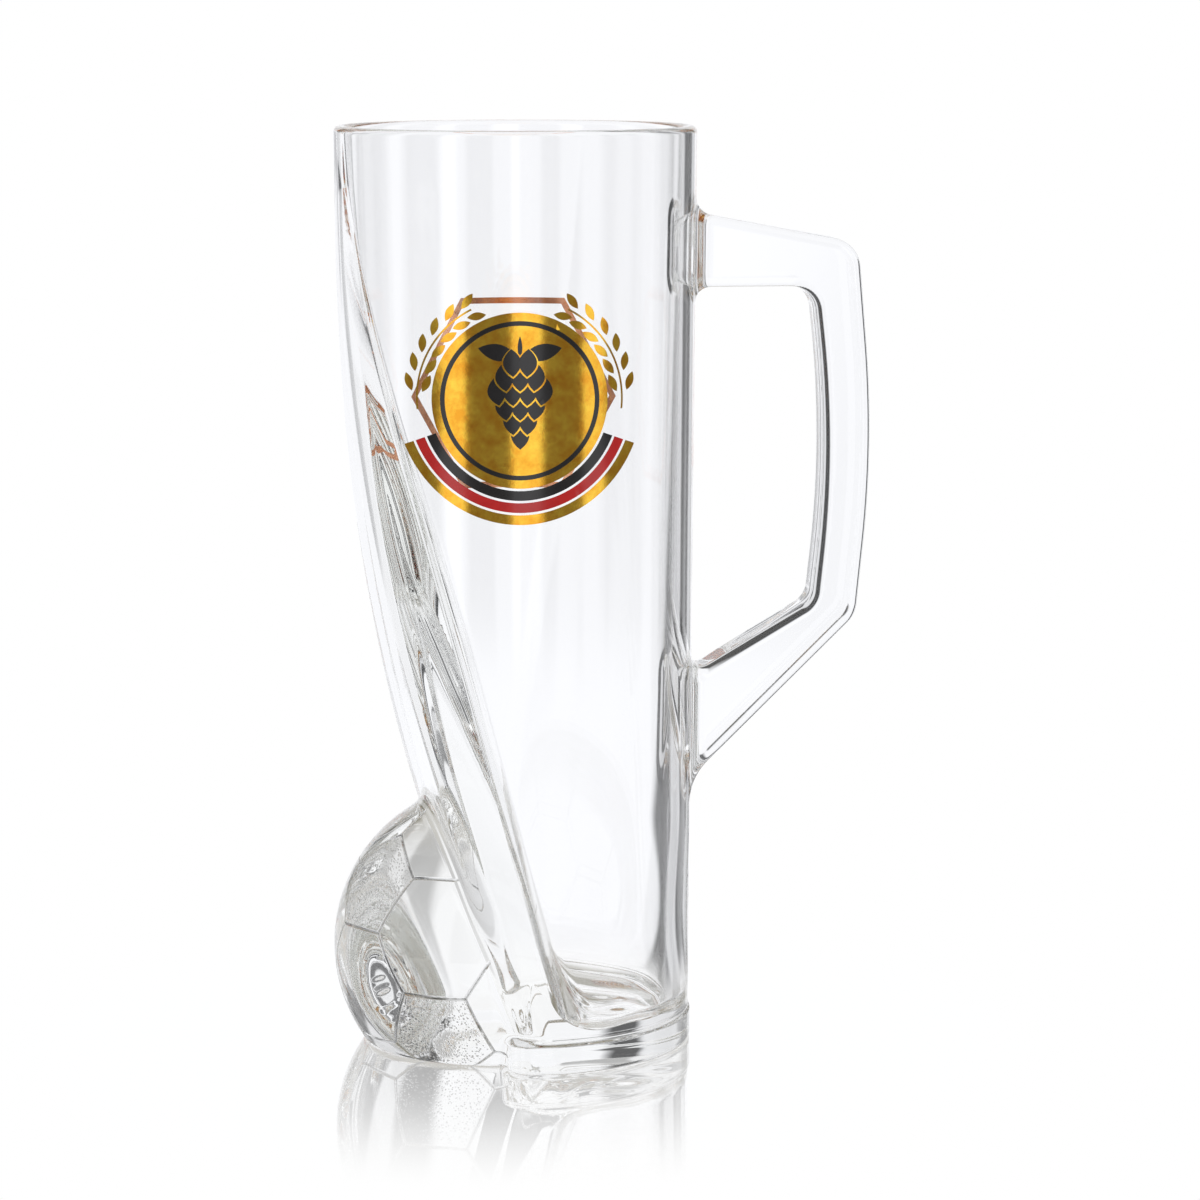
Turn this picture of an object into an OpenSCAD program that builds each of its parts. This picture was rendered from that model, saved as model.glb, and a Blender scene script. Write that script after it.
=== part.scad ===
// Beer mug of pressed soda-lime glass: a round barrel with one slanted side,
// half a football standing at the foot of that side, and a handle fused on opposite.
// The barrel axis is Z, the table is z = 0 and the handle points along +X.
// The front print looks along -Y.

/* [Barrel] */
// Outside diameter at the rim
rim_d = 80; // [70:0.5:95]
// Outside diameter at the table
foot_d = 76.8; // [68:0.2:92]
// Height from the table to the lip
mug_h = 205; // [180:1:230]
// Glass thickness at the rim
rim_wall = 3; // [2:0.1:4.5]
// Glass thickness of the round wall at the inner floor
floor_wall = 4.8; // [3:0.1:7]
// Glass thickness under the drink, foot included
floor_t = 8; // [7.5:0.5:14]
// Radius of the round corner between inner floor and wall
floor_fillet = 3.5; // [3:0.5:12]

/* [Slanted side] */
// Turn of the slanted side from straight opposite the handle
slant_turn = 4; // [0:1:20]
// Distance of the slanted side from the barrel axis at the table
slant_at_table = 0; // [-2:0.2:3]
// Height of the plain round ring under the lip, above the slanted side
rim_ring_h = 14; // [10:0.5:20]
// Depth of the step from that ring to the slanted side
slant_step = 0.4; // [0.3:0.1:1]
// Glass thickness of the slanted wall at the table
slant_wall = 5.7; // [5:0.1:8]
// Lean of the inner slanted side from upright, below its bend
inner_angle = 13.8; // [13:0.1:14.2]
// Radius of the bend at the top of the inner slanted side
inner_bend_r = 350; // [300:10:450]
// Height of the plain round ring inside the lip, above the inner slanted side
inner_ring_h = 6; // [4:0.5:10]

/* [Foot] */
// Height of the foot band
foot_h = 7; // [5:0.5:7]
// Reach of the foot past the slanted side, as a web under the ball
foot_web = 7.6; // [4:0.2:10]
// Width of the bevel that draws a line round the top of the foot
foot_bevel = 0.6; // [0.3:0.1:1]

/* [Ball] */
// Diameter of the football
ball_d = 72.5; // [60:0.5:76]
// Height of the ball's centre above the table
ball_centre_z = 21.4; // [16:0.2:26]
// How far the ball stands out past the rim's outline
ball_proud = 1.5; // [0:0.1:3]
// Turn of the hexagon that faces the front, from the slanted side
panel_turn = 59; // [0:1:72]
// Rise of that hexagon's middle from level
panel_tilt = 13.5; // [0:0.5:30]
// Width of the seams between the panels
seam_w = 1.6; // [0.8:0.1:2.4]
// Depth of the seams
seam_depth = 0.5; // [0.3:0.05:1]
// Width of the plain border where the ball grows out of the slanted side
ball_border = 1.5; // [1:0.1:3]

/* [Handle] */
// Reach of the handle past the rim
handle_reach = 39.9; // [36:0.1:50]
// Thickness of the handle across its flat faces
handle_t = 13; // [9:0.5:18]
// Radial width of the grip
grip_w = 10.2; // [8:0.1:14]
// Distance from the lip down to the handle's top edge at the barrel
handle_drop = 19.6; // [14:0.2:30]
// Height of the upper arm at the barrel
upper_arm_h = 16; // [12:0.5:20]
// Fall of the upper arm's top edge from level
upper_arm_fall = 9.8; // [4:0.2:14]
// Height of the finger opening at the grip
opening_h = 70.5; // [66:0.5:84]
// Climb of the opening's lower edge from level
opening_climb = 31; // [20:1:38]
// Climb of the lower arm's underside from level
lower_arm_climb = 44.5; // [40:0.5:50]
// Height of the lower arm at the barrel
lower_arm_h = 22.2; // [20:0.2:32]
// Outward bow of the grip at its middle
grip_bow = 3.9; // [1:0.1:5]
// Radius of the bow
bow_r = 240; // [120:10:300]
// Radius of the outer corners
outer_corner_r = 7; // [4:0.5:10]
// Radius of the corners of the finger opening
inner_corner_r = 5.5; // [3:0.5:8]
// Thickness of the fused seats between handle and barrel
seat_t = 2.6; // [2:0.1:4]
// How far the seats spread round the arms' ends
seat_spread = 1.6; // [0.6:0.1:2.4]

/* [Prints] */
// Thickness of one fired print layer
film_t = 0.1; // [0.06:0.01:0.2]
// Turn of the front print from square to the handle
print_turn = -4; // [-15:1:15]
// Distance from the lip down to the middle of the front print
print_drop = 57; // [50:1:70]
// Radius of the medallion
medallion_r = 17; // [13:0.5:20]
// Width of the medallion's gold border
border_w = 1.8; // [1:0.1:3]
// Width of the dark lines
keyline_w = 1; // [0.5:0.1:1.6]
// Width of each ribbon stripe
stripe_w = 2.1; // [1.2:0.1:3]
// Bare glass between neighbouring parts of the print
print_gap = 0.5; // [0.3:0.1:1]
// Angle that the ribbon covers under the medallion
ribbon_sweep = 136; // [90:2:160]
// Height of the hop cone
hop_h = 20; // [14:0.5:22]
// Width of one hop scale
hop_scale_w = 3.4; // [2.4:0.1:4]
// Length of one barley grain
grain_l = 4.1; // [3:0.1:5.5]
// Width of one barley grain
grain_w = 1.7; // [1.2:0.1:2.4]
// Lean of the grains from their stem
grain_lean = 22; // [10:1:35]
// Grain pairs on one ear
grain_pairs = 6; // [4:1:8]
// Distance from the lip down to the middle of the back print
back_drop = 63; // [55:1:75]
// Distance across the flats of the back hexagon
back_flats = 44; // [24:0.5:48]
// Width of the back print's lines
back_line_w = 1.4; // [0.8:0.1:2]

/* [Hidden] */
$fn = 96;

// Glass and print colours
clear_glass = "#dfe6e4";
pressed_glass = "#cfd8d6";
gold = "#c9a227";
ink_black = "#1a1715";
ink_red = "#b3261e";
copper = "#b5714a";

// Radii and heights that follow from the sizes above
rim_r = rim_d / 2;
foot_r = foot_d / 2;
lip_r = rim_wall / 2;
bore_rim_r = rim_r - rim_wall;
bore_floor_r = wall_r(floor_t) - floor_wall;
far = 2 * mug_h;
past = 1;
arc_steps = 12;

// Radius of the round wall at a height up to the lip
function wall_r(z) = foot_r + (rim_r - foot_r) * z / (mug_h - lip_r);

// Slanted side: one long curve that stands upright under the ring
slant_dir = 180 + slant_turn;
slant_top_r = rim_r - slant_step;
slant_top_z = mug_h - rim_ring_h;
slant_depth = slant_top_r - slant_at_table;
slant_r = (pow(slant_top_z, 2) + pow(slant_depth, 2)) / (2 * slant_depth);
curve_faces = 1440;

// Inner slanted side: a plane up to its low point, then a bend that runs out at the bore's rim
inner_at_table = slant_at_table - slant_wall;
inner_low_x = bore_rim_r - inner_bend_r * (1 - cos(inner_angle));
inner_low_z = (inner_low_x - inner_at_table) / tan(inner_angle);
inner_centre_z = inner_low_z + inner_bend_r * sin(inner_angle);
inner_top_z = min(inner_centre_z, mug_h - inner_ring_h);

// Ball, placed by how far it stands out
ball_r = ball_d / 2;
ball_x = rim_r + ball_proud - ball_r;
wedge_r = 1.2 * ball_r;

// Handle heights, all taken from the lip down
seat_x = rim_r + seat_t;
handle_top_z = mug_h - handle_drop;
opening_top_z = handle_top_z - upper_arm_h;
opening_low_z = opening_top_z - opening_h;
grip_x = rim_r + handle_reach;
grip_mid_z = opening_top_z - opening_h / 2;
opening_x = grip_x - grip_bow - grip_w;
opening_foot_z = opening_low_z - (opening_x - seat_x) * tan(opening_climb);
lower_arm_z = opening_foot_z - lower_arm_h;
grip_top_z = handle_top_z - (grip_x - seat_x) * tan(upper_arm_fall);
grip_low_z = lower_arm_z + (grip_x - grip_bow - seat_x) * tan(lower_arm_climb);

// Print places and the radii of the ribbon and the ears
print_z = mug_h - print_drop;
back_z = mug_h - back_drop;
ribbon_r = medallion_r + border_w + print_gap;
grain_side = (grain_w + print_gap) / 2;
ear_r = ribbon_r + grain_side + grain_l * sin(grain_lean);
ear_start = 4;
ear_step = grain_l / ear_r * 180 / PI;
print_low = print_z - 2 * medallion_r;
print_high = print_z + 2 * medallion_r;

// Hop cone: scales in each row from the top, their length in rows, how low the cone hangs
hop_rows = [2, 3, 4, 3, 2, 1];
hop_row_h = hop_h / len(hop_rows);
hop_scale_l = 1.3 * hop_row_h;
hop_drop = 0.12 * hop_h;
hop_leaf_l = hop_h / 2;
hop_leaf_lean = 78;

// Unit vector from one point to another
function towards(a, b) = (b - a) / norm(b - a);
// Flat vector turned by an angle
function spin(v, angle) = [v.x * cos(angle) - v.y * sin(angle), v.x * sin(angle) + v.y * cos(angle)];
// Change of direction at corner b of a path, positive to the left
function turn_at(a, b, c) =
    let (u = towards(a, b), v = towards(b, c)) atan2(cross(u, v), u * v);
// Points of the round of radius r that replaces corner b, or b itself where r is 0
function corner_round(a, b, c, r) =
    let (u = towards(a, b), turn = turn_at(a, b, c),
        start = b - u * r * tan(abs(turn) / 2),
        centre = start + sign(turn) * r * [-u.y, u.x])
    r == 0 ? [b] : [for (i = [0:arc_steps]) centre + spin(start - centre, turn * i / arc_steps)];

// Outline with a round of its own radius at each corner
module rounded_outline(points, radii) {
    n = len(points);
    polygon([for (i = [0:n - 1])
        each corner_round(points[(i + n - 1) % n], points[i], points[(i + 1) % n], radii[i])]);
}

// Cylinder that lies across the slanted side, with its top point at the given distance and height
module cross_cylinder(r, top_x, centre_z) {
    translate([top_x - r, 0, centre_z])
        rotate([90, 0, 0])
            cylinder(r = r, h = 2 * far, center = true, $fn = curve_faces);
}

// Everything outside the slanted side, up to the ring
module outside_slant() {
    rotate([0, 0, slant_dir])
        difference() {
            translate([slant_at_table - past, -far / 2, -past])
                cube([far, far, slant_top_z + past]);
            cross_cylinder(slant_r, slant_top_r, slant_top_z);
        }
}

// Everything outside the inner slanted side, up to the ring inside the lip
module outside_inner_slant() {
    rotate([0, 0, slant_dir]) {
        intersection() {
            translate([inner_low_x, 0, inner_low_z])
                rotate([0, inner_angle, 0])
                    translate([0, -far / 2, -far])
                        cube([far, far, 2 * far]);
            translate([-far, -far, inner_top_z - far])
                cube([2 * far, 2 * far, far]);
        }
        difference() {
            translate([0, -far / 2, inner_low_z])
                cube([far, far, inner_top_z - inner_low_z]);
            cross_cylinder(inner_bend_r, bore_rim_r, inner_centre_z);
        }
    }
}

// Solid round body between two heights, with the outer half of the lip
module round_body(low, high) {
    rotate_extrude() {
        if (high < mug_h)
            polygon([[0, low], [wall_r(low), low], [wall_r(high), high], [0, high]]);
        else {
            polygon([[0, low], [wall_r(low), low], [rim_r, mug_h - lip_r],
                [rim_r - lip_r, mug_h], [0, mug_h]]);
            translate([rim_r - lip_r, mug_h - lip_r])
                circle(lip_r);
        }
    }
}

// Space for the drink, open above the lip
module drink_space() {
    difference() {
        rotate_extrude() {
            rounded_outline([[0, floor_t], [bore_floor_r, floor_t], [bore_rim_r, mug_h - lip_r],
                [bore_rim_r, mug_h + past], [0, mug_h + past]], [0, floor_fillet, 0, 0, 0]);
            difference() {
                translate([bore_rim_r - past, mug_h - lip_r])
                    square([lip_r + past, lip_r + past]);
                translate([rim_r - lip_r, mug_h - lip_r])
                    circle(lip_r);
            }
        }
        outside_inner_slant();
    }
}

module barrel() {
    color(clear_glass)
        difference() {
            round_body(foot_h, mug_h);
            outside_slant();
            drink_space();
        }
}

// Everything outside the web that joins the foot to the ball
module outside_foot_web() {
    rotate([0, 0, slant_dir])
        translate([slant_at_table + foot_web, -far / 2, -far / 2])
            cube(far);
}

// Room that the foot takes up, without its bevel
module foot_space() {
    difference() {
        translate([0, 0, -past])
            cylinder(r = rim_d, h = foot_h + past);
        outside_foot_web();
    }
}

module foot() {
    color(pressed_glass)
        difference() {
            round_body(0, foot_h);
            outside_foot_web();
            rotate_extrude()
                polygon([[wall_r(foot_h) - foot_bevel, foot_h], [wall_r(foot_h) + past, foot_h],
                    [wall_r(foot_h) + past, foot_h - foot_bevel - past]]);
        }
}

// Panel pattern of 12 pentagons and 20 hexagons: the pentagons lie on the corners of an
// icosahedron of edge 2 and the hexagons on its faces
golden = (1 + sqrt(5)) / 2;
corners = [for (u = [-1, 1], v = [-golden, golden]) each [[0, u, v], [u, v, 0], [v, 0, u]]];
function joined(a, b) = abs(norm(a - b) - 2) < 0.01;
function mean(points) = [for (v = points) 1] * points / len(points);

// Corners round a pentagon, in the order of their angle about its centre
function pentagon_angle(c, first, q) =
    atan2(cross(towards([0, 0, 0], c), first) * q, first * q);
function by_angle(rows) = len(rows) == 0 ? [] :
    let (least = min([for (r = rows) r[0]]))
    [for (r = rows) if (r[0] == least) each [r[1]],
        each by_angle([for (r = rows) if (r[0] > least) r])];
function pentagon(c) =
    let (near = [for (q = corners) if (joined(c, q)) q],
        axis = towards([0, 0, 0], c),
        first = near[0] - axis * (near[0] * axis))
    by_angle([for (q = near) [pentagon_angle(c, first, q), c + (q - c) / 3]]);
function hexagon_panel(a, b, c) =
    [for (pair = [[a, b], [b, a], [b, c], [c, b], [c, a], [a, c]]) pair[0] + (pair[1] - pair[0]) / 3];
panels = [
    for (c = corners) pentagon(c),
    for (i = [0:9], j = [i + 1:10], k = [j + 1:11])
        let (a = corners[i], b = corners[j], c = corners[k])
        if (joined(a, b) && joined(b, c) && joined(c, a)) hexagon_panel(a, b, c)];

// Wedge from the ball's centre through one panel, drawn in by half a seam
module panel_wedge(outline) {
    n = len(outline);
    c = mean(outline);
    inset = 1 - seam_w / 2 / (norm(mean([outline[0], outline[1]]) - c) * ball_r / norm(c));
    reach = wedge_r / norm(c);
    points = [[0, 0, 0], each [for (v = outline) (c + (v - c) * inset) * reach]];
    outward = cross(points[2] - points[1], points[3] - points[2]) * c > 0;
    base = [for (i = [1:n]) outward ? n + 1 - i : i];
    polyhedron(points, [base, each [for (i = [0:n - 1]) [0, base[(i + 1) % n], base[i]]]]);
}

// Turn that puts one hexagon upright on +Z with a pentagon next to it on +X
module upright_pattern() {
    rotate([0, 0, -atan2((golden - 1) / sqrt(2), (golden + 1) / sqrt(6))])
        rotate([0, -acos(1 / sqrt(3)), 0])
            rotate([0, 0, -45])
                children();
}

// Whole ball at its place
module ball(r) {
    translate([ball_x, 0, ball_centre_z])
        sphere(r);
}

module football() {
    color(pressed_glass)
        intersection() {
            rotate([0, 0, slant_dir])
                intersection() {
                    ball(ball_r);
                    union() {
                        ball(ball_r - seam_depth);
                        translate([ball_x, 0, ball_centre_z])
                            rotate([0, 90 - panel_tilt, panel_turn])
                                upright_pattern()
                                    for (outline = panels)
                                        panel_wedge(outline);
                        cross_cylinder(slant_r, slant_top_r + ball_border, slant_top_z);
                    }
                }
            outside_slant();
            difference() {
                translate([-far / 2, -far / 2, 0])
                    cube(far);
                foot_space();
            }
        }
}

// Side outline of the handle, solid and without its opening
module handle_outline() {
    rounded_outline([[seat_x, lower_arm_z], [grip_x - grip_bow, grip_low_z],
        [grip_x, grip_mid_z], [grip_x - grip_bow, grip_top_z], [seat_x, handle_top_z]],
        [0, outer_corner_r, bow_r, outer_corner_r, 0]);
}

// Side outline of the finger opening
module opening_outline() {
    rounded_outline([[seat_x - past, opening_foot_z - past * tan(opening_climb)],
        [opening_x, opening_low_z], [opening_x + grip_bow, grip_mid_z],
        [opening_x, opening_top_z], [seat_x - past, opening_top_z]],
        [0, inner_corner_r, bow_r - grip_w, inner_corner_r, 0]);
}

module handle() {
    color(clear_glass)
        rotate([90, 0, 0])
            linear_extrude(handle_t, center = true)
                difference() {
                    handle_outline();
                    opening_outline();
                }
}

// Face of a fused seat, with round corners
module seat_outline(w, h) {
    rounded_outline([[-w, -h] / 2, [w, -h] / 2, [w, h] / 2, [-w, h] / 2],
        [for (i = [1:4]) inner_corner_r]);
}

// Fused seat between the round wall and the end of an arm
module seat(low, high) {
    difference() {
        translate([0, 0, (low + high) / 2])
            rotate([90, 0, 90])
                linear_extrude(seat_x)
                    seat_outline(handle_t + 2 * seat_spread, high - low + 2 * seat_spread);
        round_body(0, mug_h - past);
    }
}

module handle_upper_seat() {
    color(clear_glass)
        seat(opening_top_z, handle_top_z);
}

module handle_lower_seat() {
    color(clear_glass)
        seat(lower_arm_z, opening_foot_z);
}

// Print layer on the round wall: its outline, seen straight on, laid on the glass
module film(layer, turn, low, high) {
    in = layer * film_t;
    out = in + film_t;
    intersection() {
        rotate_extrude()
            polygon([[wall_r(low) + in, low], [wall_r(low) + out, low],
                [wall_r(high) + out, high], [wall_r(high) + in, high]]);
        rotate([90, 0, turn])
            linear_extrude(rim_d)
                children();
    }
}

module front_film(layer) {
    film(layer, print_turn, print_low, print_high)
        translate([0, print_z])
            children();
}

// Flat ring between two radii
module ring(inner, outer) {
    difference() {
        circle(outer);
        circle(inner);
    }
}

// Pointed leaf shape from the origin along +Y
module leaf(length, width) {
    r = (length * length / 4 + width * width / 4) / width;
    intersection() {
        translate([r - width / 2, length / 2])
            circle(r);
        translate([width / 2 - r, length / 2])
            circle(r);
    }
}

module print_medallion_field() {
    color(gold)
        front_film(0)
            circle(medallion_r - keyline_w);
}

module print_medallion_keyline() {
    color(ink_black)
        front_film(0)
            ring(medallion_r - keyline_w, medallion_r);
}

module print_medallion_border() {
    color(gold)
        front_film(0)
            ring(medallion_r, medallion_r + border_w);
}

// Hop cone drawn as staggered rows of pointed scales on the gold field, with two leaves above
module hop_scales() {
    for (row = [0:len(hop_rows) - 1])
        for (k = [0:hop_rows[row] - 1])
            translate([(k - (hop_rows[row] - 1) / 2) * (hop_scale_w + print_gap),
                hop_h / 2 - (row + 0.5) * hop_row_h - hop_scale_l / 2])
                leaf(hop_scale_l, hop_scale_w);
}

module print_hop_cone() {
    color(ink_black)
        front_film(1)
            translate([0, -hop_drop]) {
                hop_scales();
                for (side = [-1, 1])
                    translate([side * print_gap, hop_h / 2 + print_gap])
                        rotate([0, 0, -side * hop_leaf_lean])
                            leaf(hop_leaf_l, hop_scale_w);
            }
}

// Two barley ears that climb either side of the medallion
module ear() {
    for (i = [0:grain_pairs - 1])
        for (side = [-1, 1])
            rotate([0, 0, ear_start + i * ear_step])
                translate([ear_r + side * grain_side, 0])
                    rotate([0, 0, -side * grain_lean])
                        leaf(grain_l, grain_w);
}

module print_barley_ears() {
    color(gold)
        front_film(0) {
            ear();
            mirror([1, 0])
                ear();
        }
}

// One stripe of the ribbon under the medallion
module stripe(index) {
    inner = ribbon_r + index * (stripe_w + print_gap);
    outer = inner + stripe_w;
    reach = 2 * outer;
    front_film(0)
        intersection() {
            ring(inner, outer);
            polygon([[0, 0], reach * [sin(ribbon_sweep / 2), -cos(ribbon_sweep / 2)],
                [0, -2 * reach], reach * [-sin(ribbon_sweep / 2), -cos(ribbon_sweep / 2)]]);
        }
}

module print_ribbon_black() {
    color(ink_black)
        stripe(0);
}

module print_ribbon_red() {
    color(ink_red)
        stripe(1);
}

module print_ribbon_gold() {
    color(gold)
        stripe(2);
}

// Plain hexagon line on the far side
module hexagon(flats) {
    circle(r = flats / sqrt(3), $fn = 6);
}

module print_back_hexagon() {
    color(copper)
        film(0, print_turn + 180, back_z - back_flats, back_z + back_flats)
            translate([0, back_z])
                difference() {
                    hexagon(back_flats);
                    hexagon(back_flats - 2 * back_line_w);
                }
}

barrel();
foot();
football();
handle();
handle_upper_seat();
handle_lower_seat();
print_medallion_field();
print_medallion_keyline();
print_medallion_border();
print_hop_cone();
print_barley_ears();
print_ribbon_black();
print_ribbon_red();
print_ribbon_gold();
print_back_hexagon();
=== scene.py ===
"""Glass beer mug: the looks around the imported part, in metres, in the part's own frame."""
import math

import bpy
import numpy as np
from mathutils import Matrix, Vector
from mathutils.geometry import delaunay_2d_cdt


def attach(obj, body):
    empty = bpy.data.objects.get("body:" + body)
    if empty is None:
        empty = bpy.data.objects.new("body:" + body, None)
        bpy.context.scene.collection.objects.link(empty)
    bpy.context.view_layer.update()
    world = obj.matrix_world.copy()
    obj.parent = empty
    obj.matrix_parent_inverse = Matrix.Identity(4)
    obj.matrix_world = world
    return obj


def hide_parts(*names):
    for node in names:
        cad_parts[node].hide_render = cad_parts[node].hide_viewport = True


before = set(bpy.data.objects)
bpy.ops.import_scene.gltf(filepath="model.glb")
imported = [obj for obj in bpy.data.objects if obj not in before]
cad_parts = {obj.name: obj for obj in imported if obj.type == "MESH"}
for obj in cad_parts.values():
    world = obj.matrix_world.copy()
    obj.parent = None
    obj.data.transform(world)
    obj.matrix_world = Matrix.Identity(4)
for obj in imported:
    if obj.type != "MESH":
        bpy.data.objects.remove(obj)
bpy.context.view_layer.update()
MM = 0.001

# Sizes in millimetres, the same as in the part's source
MUG_H, RIM_R, FOOT_R, LIP_R = 205.0, 40.0, 38.4, 1.5
RIM_WALL, FLOOR_WALL, FLOOR_T, FLOOR_FILLET = 3.0, 4.8, 8.0, 3.5
SLANT_DIR, SLANT_AT, SLANT_TOP_R, SLANT_TOP_Z = math.radians(184), 0.0, 39.6, 191.0
INNER_AT, INNER_LEAN, INNER_BEND = -5.7, math.radians(13.8), 350.0
FOOT_H, FOOT_WEB = 7.0, 7.6
BALL_R, BALL_X, BALL_Z = 36.25, 5.25, 21.4
PANEL_TURN, PANEL_TILT, SEAM_W, SEAM_DEPTH, BORDER = 59.0, 13.5, 0.8, 0.45, 1.5
HANDLE_T, SEAT_X = 13.0, 42.6
GRIP_X, GRIP_BOW, GRIP_W, BOW_R = 79.9, 3.9, 10.2, 240.0
HANDLE_TOP, OPEN_TOP, OPEN_LOW = 185.4, 169.4, 98.9
ARM_FALL, OPEN_CLIMB, ARM_CLIMB = (math.radians(a) for a in (9.8, 31, 44.5))
LOW_ARM_H, CORNER_OUT, CORNER_IN = 22.2, 7.0, 5.5

# Roundings and fillets of the fused glass, in millimetres, which the solids leave out
SIDE_BLEND, SIDE_SKEW, SIDE_HALF = 3.5, 1.5, 15.0
SOFT_TOP_Z, SOFT_RUN, SOFT_LEAST = 185.0, 90.0, 0.1
DRINK_BLEND, DRINK_LOW_BLEND, DRINK_LOW_Z, DRINK_LOW_RUN = 4.0, 5.0, 26.0, 16.0
FOOT_BLEND, FOOT_EDGE, BASE_EDGE, FOOT_FILLET = 5.0, 1.0, 1.0, 2.0
FOOT_LINE_W, FOOT_LINE_DEPTH = 0.7, 0.3
BALL_ROOT, BALL_FILLET, SEAM_REACH = 5.0, 4.0, 4.0
HANDLE_EDGE, HANDLE_BLEND, NECK_FILLET = 2.4, 1.0, 4.0
# The slanted side leans out by this much of its height above its top, and so ends in the lip
LIP_LEAN = 0.035
# The curl and the waves on the inner floor
CURL_X, CURL_Y, CURL_R, CURL_H, WAVE_H = 10.0, -4.0, 14.0, 0.7, 0.3


def wall_r(z):
    """Outside radius of the round wall at a height."""
    return FOOT_R + (RIM_R - FOOT_R) * z / (MUG_H - LIP_R)


BORE_FLOOR = wall_r(FLOOR_T) - FLOOR_WALL
BORE_RIM = RIM_R - RIM_WALL


def bore_r(z):
    """Radius of the drink space at a height."""
    return BORE_FLOOR + (BORE_RIM - BORE_FLOOR) * (z - FLOOR_T) / (MUG_H - LIP_R - FLOOR_T)


# Rounded set operations on signed distances
def soft_max(a, b, k):
    h = np.maximum(k - np.abs(a - b), 0) / k
    return np.maximum(a, b) + h * h * k / 4


def soft_min(a, b, k):
    return -soft_max(-a, -b, k)


def round_max(a, b, r):
    return (np.minimum(np.maximum(a, b), -r)
            + np.hypot(np.maximum(a + r, 0), np.maximum(b + r, 0)))


def eased(t):
    """Smooth run from 0 to 1."""
    return t * t * (3 - 2 * t)


def outer_side(x, z):
    """Distance outside the slanted side, one long curve that stands upright at its top."""
    depth = SLANT_TOP_R - SLANT_AT
    r = (SLANT_TOP_Z ** 2 + depth ** 2) / (2 * depth)
    up = z - SLANT_TOP_Z
    return np.where(up > 0, x - SLANT_TOP_R - LIP_LEAN * up,
                    np.hypot(x - SLANT_TOP_R + r, up) - r)


def inner_side(x, z):
    """Distance outside the inner slanted side: a plane, then a bend that runs out at the bore."""
    c, s = math.cos(INNER_LEAN), math.sin(INNER_LEAN)
    low_x = BORE_RIM - INNER_BEND * (1 - c)
    low_z = (low_x - INNER_AT) * c / s
    u, w = x - BORE_RIM + INNER_BEND, z - low_z - INNER_BEND * s
    plane = (x - INNER_AT) * c - z * s
    return np.where(u * s + w * c < 0, plane, np.hypot(u, w) - INNER_BEND)


def rounded(points, radii, steps=14):
    """Outline with a round of its own radius at each corner."""
    out = []
    for i, r in enumerate(radii):
        a, b, c = (np.array(points[(i + k) % len(points)], float) for k in (-1, 0, 1))
        u, v = (b - a) / np.linalg.norm(b - a), (c - b) / np.linalg.norm(c - b)
        turn = math.atan2(u[0] * v[1] - u[1] * v[0], u @ v)
        if r == 0:
            out.append(b)
            continue
        start = b - u * r * math.tan(abs(turn) / 2)
        centre = start + math.copysign(r, turn) * np.array([-u[1], u[0]])
        d = start - centre
        for k in range(steps + 1):
            s, t = math.sin(turn * k / steps), math.cos(turn * k / steps)
            out.append(centre + [d[0] * t - d[1] * s, d[0] * s + d[1] * t])
    return np.array(out)


# Outlines of the handle, which start inside the wall, and of its opening
IN_X = 36.0
OPEN_X = GRIP_X - GRIP_BOW - GRIP_W
GRIP_MID = (OPEN_TOP + OPEN_LOW) / 2
OPEN_FOOT = OPEN_LOW - (OPEN_X - SEAT_X) * math.tan(OPEN_CLIMB)
ARM_LOW = OPEN_FOOT - LOW_ARM_H
HANDLE_OUT = rounded([
    (IN_X, ARM_LOW - (SEAT_X - IN_X) * math.tan(ARM_CLIMB)),
    (GRIP_X - GRIP_BOW, ARM_LOW + (GRIP_X - GRIP_BOW - SEAT_X) * math.tan(ARM_CLIMB)),
    (GRIP_X, GRIP_MID),
    (GRIP_X - GRIP_BOW, HANDLE_TOP - (GRIP_X - SEAT_X) * math.tan(ARM_FALL)),
    (IN_X, HANDLE_TOP + (SEAT_X - IN_X) * math.tan(ARM_FALL)),
], (0, CORNER_OUT, BOW_R, CORNER_OUT, 0))
HANDLE_IN = rounded([
    (0, OPEN_FOOT - SEAT_X * math.tan(OPEN_CLIMB)),
    (OPEN_X, OPEN_LOW),
    (OPEN_X + GRIP_BOW, GRIP_MID),
    (OPEN_X, OPEN_TOP),
    (0, OPEN_TOP),
], (0, CORNER_IN, BOW_R - GRIP_W, CORNER_IN, 0))
# Box round the handle, and the distance that points outside it are given
NEAR_X, NEAR_Y, NEAR_LOW, NEAR_HIGH, NOT_NEAR = 33.0, 16.0, 48.0, 200.0, 12.0


def polygon_distance(outline, x, z):
    """Signed distance from a closed outline, negative inside."""
    best = np.full(x.shape, np.inf)
    within = np.zeros(x.shape, bool)
    for (ax, az), (bx, bz) in zip(outline, np.roll(outline, -1, axis=0)):
        ex, ez = bx - ax, bz - az
        t = np.clip(((x - ax) * ex + (z - az) * ez) / (ex * ex + ez * ez), 0, 1)
        best = np.minimum(best, (x - ax - t * ex) ** 2 + (z - az - t * ez) ** 2)
        if az != bz:
            within ^= ((az > z) != (bz > z)) & (x < ex * (z - az) / ez + ax)
    return np.where(within, -1, 1) * np.sqrt(best)


def handle_distance(x, y, z):
    d = np.full(x.shape, NOT_NEAR)
    near = (x > NEAR_X) & (np.abs(y) < NEAR_Y) & (z > NEAR_LOW) & (z < NEAR_HIGH)
    px, py, pz = x[near], y[near], z[near]
    side = soft_max(polygon_distance(HANDLE_OUT, px, pz), -polygon_distance(HANDLE_IN, px, pz),
                    HANDLE_BLEND)
    d[near] = round_max(side, np.abs(py) - HANDLE_T / 2, HANDLE_EDGE)
    return d


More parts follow.
